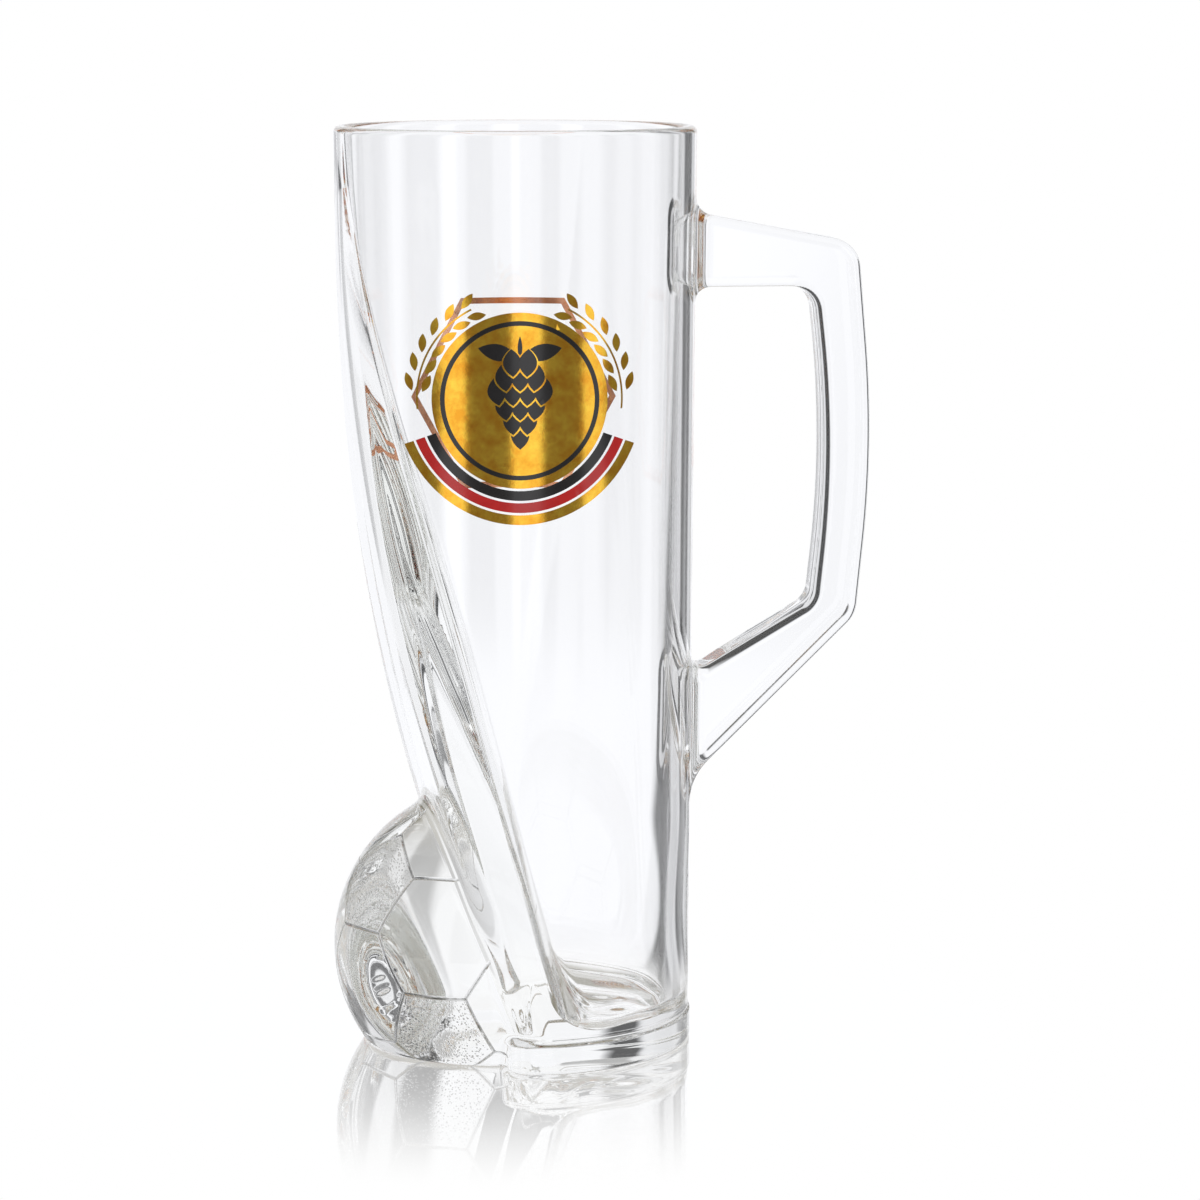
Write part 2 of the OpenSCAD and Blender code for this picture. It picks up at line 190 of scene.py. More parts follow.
def turned(axis, degrees):
    """Matrix of a turn about an axis."""
    c, s = math.cos(math.radians(degrees)), math.sin(math.radians(degrees))
    return np.array({"y": ((c, 0, s), (0, 1, 0), (-s, 0, c)),
                     "z": ((c, -s, 0), (s, c, 0), (0, 0, 1))}[axis])


# Distances of a football's pentagons and hexagons from its middle, for edges of length 1
FIVES, SIXES = 12, 20
FIVE_AWAY, SIX_AWAY = 2.32744, 2.26728


def panel_normals():
    """Pentagons on an icosahedron's corners and hexagons on its faces, scaled to share edges."""
    g = (1 + math.sqrt(5)) / 2
    five = np.array([p for u in (-1, 1) for v in (-g, g)
                     for p in ((0, u, v), (u, v, 0), (v, 0, u))])
    six = [five[i] + five[j] + five[k] for i in range(FIVES) for j in range(i) for k in range(j)
           if all(abs(np.linalg.norm(five[a] - five[b]) - 2) < 0.01
                  for a, b in ((i, j), (j, k), (i, k)))]
    spin = math.degrees(math.atan2((g - 1) / math.sqrt(2), (g + 1) / math.sqrt(6)))
    tip = math.degrees(math.acos(1 / math.sqrt(3)))
    turn = (turned("z", math.degrees(SLANT_DIR)) @ turned("z", PANEL_TURN)
            @ turned("y", 90 - PANEL_TILT) @ turned("z", -spin) @ turned("y", -tip)
            @ turned("z", -45))
    both = np.vstack([five, six])
    both = both / np.linalg.norm(both, axis=1)[:, None] @ turn.T
    return both / np.repeat((FIVE_AWAY, SIX_AWAY), (FIVES, SIXES))[:, None]


PANELS = panel_normals()
BALL_C = np.array([BALL_X * math.cos(SLANT_DIR), BALL_X * math.sin(SLANT_DIR), BALL_Z])


def panel_field(x, y, z):
    """Distance to the nearest seam in mm, and how far inside a pentagon (negative in a hexagon)."""
    p = np.stack([x, y, z], -1) - BALL_C
    p = p / np.linalg.norm(p, axis=1)[:, None]
    score = p @ PANELS.T
    order = np.argpartition(-score, 1, axis=1)[:, :2]
    rows = np.arange(len(p))
    swap = score[rows, order[:, 0]] < score[rows, order[:, 1]]
    order[swap] = order[swap][:, ::-1]
    first, second = order.T
    step = PANELS[first] - PANELS[second]
    step = step - p * np.sum(step * p, axis=1)[:, None]
    gap = (score[rows, first] - score[rows, second]) / np.linalg.norm(step, axis=1) * BALL_R
    return gap, np.where(first < FIVES, gap, -gap)


def proud(x, y, z):
    """From 0 on the plain border, where the ball leaves the slanted side, to 1 on the ball."""
    xs = x * math.cos(SLANT_DIR) + y * math.sin(SLANT_DIR)
    return np.clip(outer_side(xs, z) / BORDER - 1, 0, 1)


def ball_distance(x, y, z):
    """Signed distance of the ball with its seams cut in."""
    d = np.sqrt((x - BALL_C[0]) ** 2 + (y - BALL_C[1]) ** 2 + (z - BALL_C[2]) ** 2) - BALL_R
    near = np.abs(d) < SEAM_REACH
    at = x[near], y[near], z[near]
    gap, _ = panel_field(*at)
    d[near] += SEAM_DEPTH * proud(*at) * eased(np.clip(1 - gap / (SEAM_W / 2), 0, 1))
    return d


def floor_swirl(x, y):
    """Height of the wavy inner floor, where the pressed glass settled in a curl."""
    u, v = x - CURL_X + 0.4 * y, y - CURL_Y
    r = np.hypot(u, 1.3 * v)
    curl = CURL_H * np.cos(0.5 * r - np.arctan2(v, u)) * np.exp(-(r / CURL_R) ** 2)
    return curl + WAVE_H * np.sin(0.31 * x + 0.2 * y) * np.cos(0.27 * y)


def glass_distance(x, y, z):
    """Signed distance of the whole glass: body, ball, foot and handle, less the drink space."""
    xs = x * math.cos(SLANT_DIR) + y * math.sin(SLANT_DIR)
    rho = np.hypot(x, y)
    groove = np.clip(1 - np.abs(z - FOOT_H) / FOOT_LINE_W, 0, 1)
    wall = rho - wall_r(z) + FOOT_LINE_DEPTH * eased(groove)
    soft = np.clip((SOFT_TOP_Z - z) / SOFT_RUN, SOFT_LEAST, 1)
    side = outer_side(xs, z)
    body = soft_max(wall, side, (SIDE_BLEND - SIDE_SKEW * np.clip(y / SIDE_HALF, -1, 1)) * soft)
    foot = round_max(soft_max(wall, xs - SLANT_AT - FOOT_WEB, FOOT_BLEND), z - FOOT_H, FOOT_EDGE)
    half_ball = np.maximum(ball_distance(x, y, z), -side - BALL_ROOT)
    solid = soft_min(soft_min(body, half_ball, BALL_FILLET), foot, FOOT_FILLET)
    solid = soft_min(solid, handle_distance(x, y, z), NECK_FILLET)
    solid = round_max(solid, -z, BASE_EDGE)
    drink = round_max(rho - bore_r(z), FLOOR_T + floor_swirl(x, y) - z, FLOOR_FILLET)
    low = np.clip((DRINK_LOW_Z - z) / DRINK_LOW_RUN, 0, 1)
    drink = soft_max(drink, inner_side(xs, z), DRINK_BLEND * soft + DRINK_LOW_BLEND * low)
    return round_max(np.maximum(solid, -drink), z - MUG_H, LIP_R)


def gradient(field, p, e=0.04):
    g = np.empty_like(p)
    for k in range(3):
        q, r = p.copy(), p.copy()
        q[:, k] += e
        r[:, k] -= e
        g[:, k] = (field(*q.T) - field(*r.T)) / (2 * e)
    return g


def settle(field, p, rounds, flattest=0.05):
    """Draws points onto the surface, with steps that don't overshoot where the field is flat."""
    for _ in range(rounds):
        g = gradient(field, p)
        p = p - g * (field(*p.T) / np.maximum((g * g).sum(1), flattest))[:, None]
    return p


def sampled(field, low, high, pitch, block=8, together=400, away=99.0):
    """Values of a field on a grid, worked out only in the blocks that the surface may cross."""
    blocks = np.ceil((np.array(high) - low) / pitch / block).astype(int) + 1
    where = np.stack(np.meshgrid(*(np.arange(n) for n in blocks), indexing="ij"), -1)
    where = where.reshape(-1, 3)
    rough = field(*(low + (where + 0.5) * block * pitch).T)
    value = np.where(rough < 0, -away, away).reshape(blocks)
    for axis in range(3):
        value = np.repeat(value, block, axis)
    near = where[np.abs(rough) < 0.9 * block * pitch + 1.0]
    cell = np.stack(np.meshgrid(*(np.arange(block),) * 3, indexing="ij"), -1).reshape(-1, 3)
    for part in np.array_split(near, max(1, len(near) // together)):
        at = (part[:, None] * block + cell[None]).reshape(-1, 3)
        value[tuple(at.T)] = field(*(low + at * pitch).T)
    return value


def surface(field, low, high, pitch, rounds=6, pull=0.6):
    """Mesh of a signed distance: a vertex in each cell that the surface crosses, drawn onto it."""
    low = np.array(low, float)
    inside = sampled(field, low, high, pitch) < 0
    n = np.array(inside.shape) - 1
    count = np.zeros(n, np.int8)
    for i in (0, 1):
        for j in (0, 1):
            for k in (0, 1):
                count += inside[i:n[0] + i, j:n[1] + j, k:n[2] + k]
    crossed = (count > 0) & (count < 8)
    index = np.full(n, -1)
    index[crossed] = np.arange(crossed.sum())
    points = low + (np.argwhere(crossed) + 0.5) * pitch
    quads = []
    for axis in range(3):
        a, b = (axis + 1) % 3, (axis + 2) % 3
        first = [slice(1, -1)] * 3
        first[axis] = slice(0, -1)
        second = list(first)
        second[axis] = slice(1, None)
        here, there = inside[tuple(first)], inside[tuple(second)]
        for flip, hits in ((False, here & ~there), (True, ~here & there)):
            at = np.argwhere(hits)
            at[:, a] += 1
            at[:, b] += 1
            ring = []
            for da, db in ((-1, -1), (0, -1), (0, 0), (-1, 0)):
                q = at.copy()
                q[:, a] += da
                q[:, b] += db
                ring.append(index[tuple(q.T)])
            ring = np.stack(ring, -1)
            quads.append(ring[:, ::-1] if flip else ring)
    quads = np.vstack(quads)
    points = settle(field, points, 2)
    ends = np.vstack([quads[:, [k, (k + 1) % 4]] for k in range(4)])
    start, end = ends.T
    neighbours = np.maximum(np.bincount(start, minlength=len(points)), 1)[:, None]
    for _ in range(rounds):
        total = [np.bincount(start, points[end, k], len(points)) for k in range(3)]
        mean = np.stack(total, -1) / neighbours
        points = settle(field, points + pull * (mean - points), 1)
    return settle(field, points, 2), quads


def unit_normals(field, points):
    normals = gradient(field, points)
    return normals / np.linalg.norm(normals, axis=1)[:, None]


def refined(field, points, quads, normals, mids, bend=0.06):
    """Cuts each quad across which the surface turns by more than bend into four, on the surface."""
    corner = normals[quads]
    cut = np.linalg.norm(corner - corner.mean(1, keepdims=True), axis=2).max(1) > bend
    four = quads[cut]
    edges = np.sort(np.stack([four, np.roll(four, -1, 1)], -1).reshape(-1, 2), 1)
    pairs, which = np.unique(edges, axis=0, return_inverse=True)
    which = which.reshape(-1, 4) + len(points)
    centre = np.arange(len(four)) + len(points) + len(pairs)
    new = settle(field, np.vstack([points[pairs].mean(1), points[four].mean(1)]), 3)
    small = [np.stack([four[:, k], which[:, k], centre, which[:, k - 1]], -1) for k in range(4)]
    mids.update(zip(map(tuple, pairs.tolist()), range(len(points), len(points) + len(pairs))))
    return (np.vstack([points, new]), np.vstack([quads[~cut], *small]),
            np.vstack([normals, unit_normals(field, new)]))


def conforming(quads, mids):
    """Faces that also hold the points that finer neighbours put on their edges."""
    def between(a, b):
        m = mids.get((min(a, b), max(a, b)))
        return () if m is None else (*between(a, m), m, *between(m, b))
    return [[v for k in range(4) for v in (q[k], *between(q[k], q[k - 3]))]
            for q in quads.tolist()]


def mesh_object(name, points, faces, normals=None):
    mesh = bpy.data.meshes.new(name)
    mesh.from_pydata((points * MM).tolist(), [], faces)
    mesh.shade_smooth()
    mesh.update()
    if normals is not None:
        mesh.normals_split_custom_set_from_vertices(normals.tolist())
    obj = bpy.data.objects.new(name, mesh)
    bpy.context.scene.collection.objects.link(obj)
    return obj


# The glass, with the strength of its stipple and of the painted shade along its seam lines at each
# point
GLASS_LOW, GLASS_HIGH = (-44, -42.5, -2), (82, 42.5, 207)
ON_BALL, STIPPLE_FROM, STIPPLE_RUN, SEAM_SHADE_W, SEAM_SHADE_PEAK = 1.2, 0.3, 0.8, 0.3, 1.1
points, quads = surface(glass_distance, GLASS_LOW, GLASS_HIGH, 0.7)
normals = unit_normals(glass_distance, points)
mids = {}
for _ in range(2):
    points, quads, normals = refined(glass_distance, points, quads, normals, mids)
glass = mesh_object("mug_glass", points, conforming(quads, mids), normals)
gap, penta = panel_field(*points.T)
on_ball = np.abs(np.linalg.norm(points - BALL_C, axis=1) - BALL_R) < ON_BALL
shown = np.where(on_ball, proud(*points.T), 0.0)
stipple = shown * np.clip((penta - STIPPLE_FROM) / STIPPLE_RUN, 0, 1)
# Painted shade: how strongly a dark line is painted along each seam groove of the ball
seam = shown * np.clip(SEAM_SHADE_PEAK - gap / SEAM_SHADE_W, 0, 1)
for name, values in (("stipple", stipple), ("seam", seam)):
    layer = glass.data.attributes.new(name, "FLOAT", "POINT")
    layer.data.foreach_set("value", values.astype(np.float32))
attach(glass, "root")
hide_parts("barrel", "foot", "football", "handle", "handle_upper_seat", "handle_lower_seat")


# Materials
def material(name):
    m = bpy.data.materials.new(name)
    m.use_nodes = True
    tree = m.node_tree
    return m, tree, tree.nodes["Principled BSDF"], tree.nodes["Material Output"]


def node(tree, kind, **values):
    """New node with the sockets and settings that the keywords name."""
    n = tree.nodes.new(kind)
    for key, value in values.items():
        if key in n.inputs:
            n.inputs[key].default_value = value
        else:
            setattr(n, key, value)
    return n


def feed(tree, sockets, sources):
    """Joins each socket to an output, or sets it to a fixed value."""
    for socket, source in zip(sockets, sources):
        if isinstance(source, bpy.types.NodeSocket):
            tree.links.new(source, socket)
        else:
            socket.default_value = source


def sum_of(tree, operation, *sources):
    n = node(tree, "ShaderNodeMath", operation=operation)
    feed(tree, n.inputs, sources)
    return n.outputs[0]


def run_of(tree, source, low, high, start=0.0, end=1.0):
    """Smooth run from start, where the source is at low, to end, where it is at high."""
    n = node(tree, "ShaderNodeMapRange", interpolation_type="SMOOTHSTEP")
    keys = ("Value", "From Min", "From Max", "To Min", "To Max")
    feed(tree, [n.inputs[key] for key in keys], (source, low, high, start, end))
    return n.outputs["Result"]


def mix_of(tree, factor, first, second):
    """Colour between two."""
    n = node(tree, "ShaderNodeMix", data_type="RGBA")
    feed(tree, (n.inputs[0], n.inputs[6], n.inputs[7]), (factor, first, second))
    return n.outputs[2]


def clouded(tree, deep, light, ends, **noise):
    """Noise, and a colour that runs by it from deep to light."""
    place = node(tree, "ShaderNodeTexCoord")
    cloud = node(tree, "ShaderNodeTexNoise", **noise)
    tree.links.new(place.outputs["Object"], cloud.inputs["Vector"])
    tone = node(tree, "ShaderNodeValToRGB")
    tree.links.new(cloud.outputs["Fac"], tone.inputs["Fac"])
    for stop, position, colour in zip(tone.color_ramp.elements, ends, (deep, light)):
        stop.position, stop.color = position, (*colour, 1)
    return cloud.outputs["Fac"], tone.outputs["Color"]


WHITE = (1, 1, 1, 1)


def glass_material():
    """Clear glass with gentle waves, stippled pentagons and seam lines on the ball darkened by
    painted shade.
    """
    m, tree, shader, out = material("mug_glass")
    link = tree.links.new
    shader.inputs["IOR"].default_value = 1.52
    shader.inputs["Transmission Weight"].default_value = 1.0
    place = node(tree, "ShaderNodeTexCoord")
    dots = node(tree, "ShaderNodeTexVoronoi", Scale=1700.0)
    link(place.outputs["Object"], dots.inputs["Vector"])
    mask = node(tree, "ShaderNodeAttribute", attribute_name="stipple").outputs["Fac"]
    # The seam attribute is painted shade, which darkens the glass's colour along the ball's seam
    # grooves
    groove = node(tree, "ShaderNodeAttribute", attribute_name="seam").outputs["Fac"]
    link(sum_of(tree, "MULTIPLY", mask, 0.02), shader.inputs["Roughness"])
    pits = node(tree, "ShaderNodeBump", Distance=0.00004)
    link(mask, pits.inputs["Strength"])
    link(run_of(tree, dots.outputs["Distance"], 0.1, 0.5), pits.inputs["Height"])
    speck = run_of(tree, dots.outputs["Distance"], 0.2, 0.28, 1.0, 0.0)
    # Darkening of the colour from the stipple's specks and from the painted seam shade
    dark = sum_of(tree, "MAXIMUM", sum_of(tree, "MULTIPLY", speck, mask), groove)
    link(mix_of(tree, dark, WHITE, (0.05, 0.048, 0.045, 1)), shader.inputs["Base Color"])
    ripple = node(tree, "ShaderNodeTexNoise", Scale=55.0, Detail=2.0)
    link(place.outputs["Object"], ripple.inputs["Vector"])
    wavy = node(tree, "ShaderNodeBump", Strength=0.04, Distance=0.0003)
    link(ripple.outputs["Fac"], wavy.inputs["Height"])
    link(pits.outputs["Normal"], wavy.inputs["Normal"])
    link(wavy.outputs["Normal"], shader.inputs["Normal"])
    tint = node(tree, "ShaderNodeVolumeAbsorption", Color=(0.80, 0.815, 0.76, 1), Density=2.5)
    link(tint.outputs[0], out.inputs["Volume"])
    return m


def metal(name, light, deep, rough):
    """Fired lustre: cloudy in colour and gloss, and slightly uneven."""
    m, tree, shader, _ = material(name)
    link = tree.links.new
    cloud, tone = clouded(tree, deep, light, (0.34, 0.62), Scale=260.0, Detail=5.0, Roughness=0.65)
    link(tone, shader.inputs["Base Color"])
    spread = node(tree, "ShaderNodeMapRange", **{"To Min": rough * 0.6, "To Max": rough * 1.8})
    link(cloud, spread.inputs["Value"])
    link(spread.outputs["Result"], shader.inputs["Roughness"])
    pit = node(tree, "ShaderNodeBump", Strength=0.12, Distance=0.0002)
    link(cloud, pit.inputs["Height"])
    link(pit.outputs["Normal"], shader.inputs["Normal"])
    shader.inputs["Metallic"].default_value = 0.92
    return m


def enamel(name, light, deep):
    """Fired enamel: fine grain under a glossy coat."""
    m, tree, shader, _ = material(name)
    link = tree.links.new
    grain, tone = clouded(tree, deep, light, (0.0, 1.0), Scale=420.0, Detail=4.0)
    link(tone, shader.inputs["Base Color"])
    skin = node(tree, "ShaderNodeBump", Strength=0.1, Distance=0.0001)
    link(grain, skin.inputs["Height"])
    link(skin.outputs["Normal"], shader.inputs["Normal"])
    shader.inputs["Roughness"].default_value = 0.22
    shader.inputs["Coat Weight"].default_value = 0.3
    return m


glass.data.materials.append(glass_material())
gold = metal("gold_print", (1.0, 0.62, 0.07), (0.86, 0.38, 0.03), 0.1)
copper = metal("copper_print", (0.95, 0.46, 0.25), (0.74, 0.28, 0.12), 0.16)
black = enamel("black_enamel", (0.020, 0.017, 0.016), (0.006, 0.005, 0.005))
red = enamel("red_enamel", (0.72, 0.022, 0.018), (0.5, 0.008, 0.008))


# Prints: flat shapes seen straight on, laid on the round wall as thin fired films
def inside(loops, p):
    """Which points lie inside the first loop and outside its holes."""
    px, py = p.T
    hit = np.zeros(len(p), bool)
    for loop in loops:
        for (ax, ay), (bx, by) in zip(loop, np.roll(loop, -1, axis=0)):
            if ay != by:
                hit ^= ((ay > py) != (by > py)) & (px < (bx - ax) * (py - ay) / (by - ay) + ax)
    return hit


def on_wall(p, lift, turn, middle):
    """Points of a flat shape on the round wall, lifted off it, turned about the mug."""
    z = p[:, 1] + middle
    r = wall_r(z) + lift
    flat = np.stack([p[:, 0], -np.sqrt(r * r - p[:, 0] ** 2), z], -1)
    return flat @ turned("z", turn).T


# How far a film's front and back stand off the wall, in millimetres
FILM_UP, FILM_UNDER = 0.05, -0.05


def film(name, parts, turn, middle, paint, nodes, under=FILM_UNDER, step=0.8):
    """One piece of print: each part is (lift in mm, outer loop, holes), and under is its back."""
    verts, faces = [], []
    count = 0
    for lift, *loops in parts:
        rim = np.vstack(loops)
        edges, at = [], 0
        for loop in loops:
            edges += [(at + k, at + (k + 1) % len(loop)) for k in range(len(loop))]
            at += len(loop)
        low, high = rim.min(0), rim.max(0)
        across = np.arange(low[0], high[0], step)
        upward = np.arange(low[1], high[1], 2 * step)
        grid = np.stack(np.meshgrid(across, upward), -1).reshape(-1, 2) + step / 3
        grid = grid[inside(loops, grid)]
        made = delaunay_2d_cdt([Vector(q) for q in np.vstack([rim, grid])], edges, [], 0, 1e-6)
        flat = np.array(made[0])
        tris = np.array(made[2])
        tris = tris[inside(loops, flat[tris].mean(1))]
        for up, order in ((lift, 1), (under, -1)):
            verts.append(on_wall(flat, up, turn, middle))
            faces += (tris[:, ::order] + count).tolist()
            count += len(flat)
        for loop in loops:
            n = len(loop)
            verts += [on_wall(loop, lift, turn, middle), on_wall(loop, under, turn, middle)]
            for k in range(n):
                here, there = count + k, count + (k + 1) % n
                faces.append([here, here + n, there + n, there])
            count += 2 * n
    obj = mesh_object(name, np.vstack(verts), faces)
    obj.data.materials.append(paint)
    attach(obj, "root")
    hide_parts(*nodes)
    return obj


def arc(r, start, end, n=None):
    t = np.radians(np.linspace(start, end, n or max(6, int(abs(end - start) * r / 40))))
    return np.stack([r * np.cos(t), r * np.sin(t)], -1)


def disc(r):
    return arc(r, 0, 360, int(10 * r) + 24)[:-1]


def band(inner, outer, start, end):
    return np.vstack([arc(outer, start, end), arc(inner, end, start)])


def spun(shape, degrees):
    c, d = math.cos(math.radians(degrees)), math.sin(math.radians(degrees))
    return shape @ np.array([(c, d), (-d, c)])


def leaf(length, width, at=(0, 0), lean=0.0, n=10):
    """Pointed leaf from a point along +Y, leaning to the left by lean degrees."""
    t = np.linspace(0, 1, n)
    side = np.sin(math.pi * t) ** 0.85 * width / 2
    out = np.vstack([np.stack([side, t * length], -1),
                     np.stack([-side, t * length], -1)[-2:0:-1]])
    return spun(out, lean) + at


def hexagon(flats, n=14):
    """Hexagon of a width across its flats, with n points on each side."""
    corners = arc(flats / math.sqrt(3), 0, 360, 7)
    return np.vstack([np.linspace(a, b, n, endpoint=False) for a, b in zip(corners, corners[1:])])


# Sizes of the prints in millimetres, as in the part's source
PRINT_Z, PRINT_TURN, MEDAL_R, BORDER_W, KEY_W = 148.0, -4.0, 17.0, 1.8, 1.0
STRIPE_W, PRINT_GAP, SWEEP = 2.1, 0.5, 68.0
RIBBON_R = MEDAL_R + BORDER_W + PRINT_GAP
BACK_Z, BACK_FLATS, BACK_LINE = 142.0, 44.0, 2.8


def front(name, parts, paint, nodes, under=FILM_UNDER):
    return film(name, parts, PRINT_TURN, PRINT_Z, paint, nodes, under)


front("medallion_field", [(FILM_UP, disc(MEDAL_R - KEY_W))], gold,
      ["print_medallion_field"])
front("medallion_keyline", [(FILM_UP, disc(MEDAL_R), disc(MEDAL_R - KEY_W))], black,
      ["print_medallion_keyline"])
front("medallion_border", [(FILM_UP, disc(MEDAL_R + BORDER_W), disc(MEDAL_R))], gold,
      ["print_medallion_border"])
for index, (tone, paint) in enumerate((("black", black), ("red", red), ("gold", gold))):
    low = RIBBON_R + index * (STRIPE_W + PRINT_GAP)
    stripe = band(low, low + STRIPE_W, 270 - SWEEP, 270 + SWEEP)
    front("ribbon_" + tone, [(FILM_UP, stripe)], paint,
          ["print_ribbon_" + tone])

# Hop cone: rows of scales from the bottom up, each over the row below, with gold edges
HOP_ROWS = (1, 2, 3, 4, 3, 2)
HOP_LOW, ROW_H, ROW_LIFT, SCALE_PITCH, SCALE_LEAN = -7.4, 3.1, 0.024, 3.7, 7.0
HOP_UNDER, EDGE_LIFT, SCALE_LIFT = 0.02, 0.07, 0.082
scales, edges = [], []
for row, n in enumerate(HOP_ROWS):
    for k in range(n):
        off = k - (n - 1) / 2
        at = np.array([off * SCALE_PITCH, HOP_LOW + ROW_H * row])
        lean = 180 - SCALE_LEAN * off
        edges.append((EDGE_LIFT + ROW_LIFT * row, leaf(6.6, 4.6, at + (0, 3.2), lean)))
        scales.append((SCALE_LIFT + ROW_LIFT * row, leaf(6.0, 3.9, at + (0, 3.0), lean)))
for side in (-1, 1):
    scales.append((EDGE_LIFT, leaf(8.6, 3.6, (side * 0.5, 9.4), -side * 78)))
scales.append((EDGE_LIFT, leaf(5.0, 1.0, (0, 8.8))))
front("hop_cone", scales, black, ["print_hop_cone"], HOP_UNDER)
front("hop_edges", edges, gold, [], HOP_UNDER)

# Barley ears either side of the medallion, with a stem
GRAINS, GRAIN_L, GRAIN_W, GRAIN_OFF, GRAIN_LEAN, STEM_HALF = 6, 4.1, 1.7, 1.1, 22.0, 0.2
EAR_START, STEM_LOW, STEM_HIGH = 4.0, -6.0, 62.0
EAR_R = RIBBON_R + GRAIN_OFF + GRAIN_L * math.sin(math.radians(GRAIN_LEAN))
ears = []
for mirror in (1, -1):
    for i in range(GRAINS):
        turn = EAR_START + i * math.degrees(GRAIN_L / EAR_R)
        for side in (-1, 1):
            grain = leaf(GRAIN_L, GRAIN_W, (EAR_R + side * GRAIN_OFF, 0), -side * GRAIN_LEAN)
            ears.append((FILM_UP, spun(grain, turn) * (mirror, 1)))
    stem = band(EAR_R - STEM_HALF, EAR_R + STEM_HALF, STEM_LOW, STEM_HIGH)
    ears.append((FILM_UP, stem * (mirror, 1)))
front("barley_ears", ears, gold, ["print_barley_ears"])

film("back_hexagon", [(FILM_UP, hexagon(BACK_FLATS), hexagon(BACK_FLATS - BACK_LINE))],
     PRINT_TURN + 180, BACK_Z, copper, ["print_back_hexagon"])

# Floor, light and camera
scene = bpy.context.scene
scene.view_settings.view_transform = "Standard"
BOUNCES = 96
scene.cycles.max_bounces = BOUNCES
scene.cycles.transmission_bounces = BOUNCES
scene.cycles.glossy_bounces = BOUNCES

# Turn of the view, direction in degrees from straight behind the mug (left negative) and the
# light from there: white behind the mug, with dark strips beside it, and windows in front
VIEW_TURN = 6.4
STUDIO = ((-180, 1.2), (-177, 0.2), (-151, 0.2), (-148, 1.2), (-134, 1.2), (-131, 0.2),
          (-106, 0.2), (-103, 0.9), (-90, 0.9), (-86, 0.4), (-64, 0.4), (-60, 0.88), (-37, 0.9),
          (-34, 0.1), (-25, 0.1), (-21, 1.03), (19, 1.03), (22, 0.05), (35, 0.05), (38, 0.78),
          (51, 0.78), (54, 0.06), (74, 0.06), (77, 0.9), (91, 0.9), (94, 0.2), (120, 0.2),
          (123, 1.1), (135, 1.1), (138, 0.2), (161, 0.2), (164, 1.2))
# The same for the floor near the mug: a light sheet with two dark strips on the right
SHEET = ((-180, 0.98), (-90, 0.95), (-36, 0.95), (-23, 1.03), (19, 1.03), (22, 0.05), (35, 0.05),
         (38, 0.82), (51, 0.82), (54, 0.1), (74, 0.1), (77, 0.95), (180, 0.98))
DAYLIGHT = (0.966, 0.973, 1.0)
CEILING = (0.30, 0.28, 0.22, 1)
# Heights of the direction, from 0 level to 1 straight up, over which the ceiling begins
CEILING_FROM, CEILING_TO = 0.6, 0.85
# Distances from the mug in metres over which the floor's white patch ends, the turn of the near
# sheet runs out, the studio takes over from the sheet and the floor's shine fades
PATCH, TWIST, FAR, SHINE = (0.05, 0.1), (0.11, 0.25), (0.45, 0.65), (0.03, 0.125)
SHEET_TURN, SHINE_MOST = 14 / 360, 0.6
FLOOR_HALF, FLOOR_Z = 6000, -0.05


def surroundings(tree, direction, studio, twist=None):
    """Light by compass direction, from one of the tables above, turned by twist turns."""
    flat = node(tree, "ShaderNodeSeparateXYZ")
    tree.links.new(direction, flat.inputs[0])
    angle = sum_of(tree, "ARCTAN2", flat.outputs["X"], flat.outputs["Y"])
    turn = sum_of(tree, "MULTIPLY_ADD", angle, 1 / (2 * math.pi), 0.5 - VIEW_TURN / 360)
    if twist:
        turn = sum_of(tree, "SUBTRACT", turn, twist)
    ramp = node(tree, "ShaderNodeValToRGB")
    tree.links.new(turn, ramp.inputs["Fac"])
    stops = ramp.color_ramp.elements
    while len(stops) < len(studio):
        stops.new(0.5)
    for stop, (degrees, light) in zip(stops, studio):
        stop.position = 0.5 + degrees / 360
        stop.color = tuple(light * c for c in DAYLIGHT) + (1,)
    return ramp.outputs["Color"]


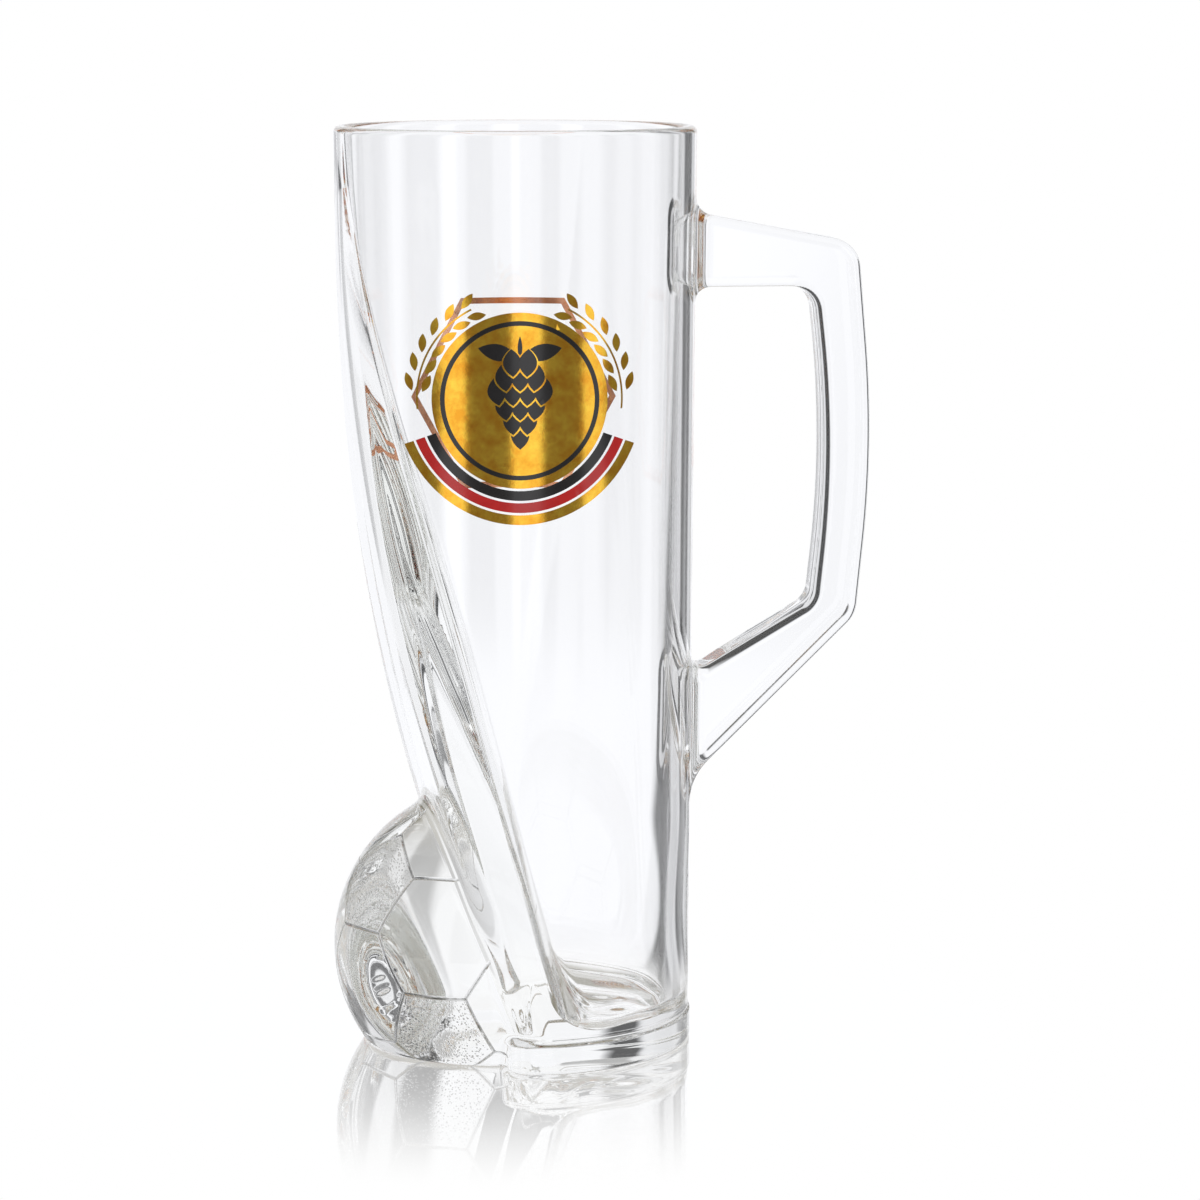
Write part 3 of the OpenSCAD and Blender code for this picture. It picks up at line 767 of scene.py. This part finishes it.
def studio_world():
    """The studio for all rays but the camera's own, which see white."""
    world = bpy.data.worlds.new("studio")
    world.use_nodes = True
    tree = world.node_tree
    link = tree.links.new
    direction = node(tree, "ShaderNodeTexCoord").outputs["Generated"]
    path = node(tree, "ShaderNodeLightPath")
    height = node(tree, "ShaderNodeSeparateXYZ")
    link(direction, height.inputs[0])
    above = run_of(tree, height.outputs["Z"], CEILING_FROM, CEILING_TO)
    light = mix_of(tree, above, surroundings(tree, direction, STUDIO), CEILING)
    seen = mix_of(tree, path.outputs["Is Camera Ray"], light, WHITE)
    link(seen, tree.nodes["Background"].inputs["Color"])
    return world


def studio_floor():
    """Glowing floor: white to the camera and near the mug, the studio's light further out."""
    m, tree, shader, out = material("floor")
    link = tree.links.new
    tree.nodes.remove(shader)
    place = node(tree, "ShaderNodeTexCoord").outputs["Object"]
    path = node(tree, "ShaderNodeLightPath")
    length = node(tree, "ShaderNodeVectorMath", operation="LENGTH")
    link(place, length.inputs[0])
    away = length.outputs["Value"]
    white = sum_of(tree, "MAXIMUM", run_of(tree, away, *PATCH, 1.0, 0.0),
                   path.outputs["Is Camera Ray"])
    near = surroundings(tree, place, SHEET, run_of(tree, away, *TWIST, SHEET_TURN, 0.0))
    light = mix_of(tree, run_of(tree, away, *FAR), near, surroundings(tree, place, STUDIO))
    glow = node(tree, "ShaderNodeEmission")
    link(mix_of(tree, white, light, WHITE), glow.inputs["Color"])
    gloss = node(tree, "ShaderNodeBsdfGlossy", Roughness=0.0, Color=WHITE)
    both = node(tree, "ShaderNodeMixShader")
    shine = run_of(tree, away, *SHINE, SHINE_MOST, 0.0)
    feed(tree, both.inputs, (shine, glow.outputs[0], gloss.outputs[0]))
    link(both.outputs[0], out.inputs["Surface"])
    return m


scene.world = studio_world()
corners = np.array([(-1, -1, 0), (1, -1, 0), (1, 1, 0), (-1, 1, 0)]) * FLOOR_HALF + (0, 0, FLOOR_Z)
floor = mesh_object("floor", corners, [[0, 1, 2, 3]])
floor.data.materials.append(studio_floor())

# Camera of the photo, fitted to the mug's outlines
CAMERA_AT, CAMERA_AIM = Vector((-82.4, -901.4, 234)) * MM, Vector((18.5, -2.1, 99.4)) * MM
cam = bpy.data.objects.new("camera", bpy.data.cameras.new("camera"))
scene.collection.objects.link(cam)
cam.location = CAMERA_AT
cam.rotation_euler = (CAMERA_AIM - CAMERA_AT).to_track_quat("-Z", "Y").to_euler()
cam.data.lens = 122.7
cam.data.sensor_width = 36
cam.data.clip_end = 50
scene.camera = cam
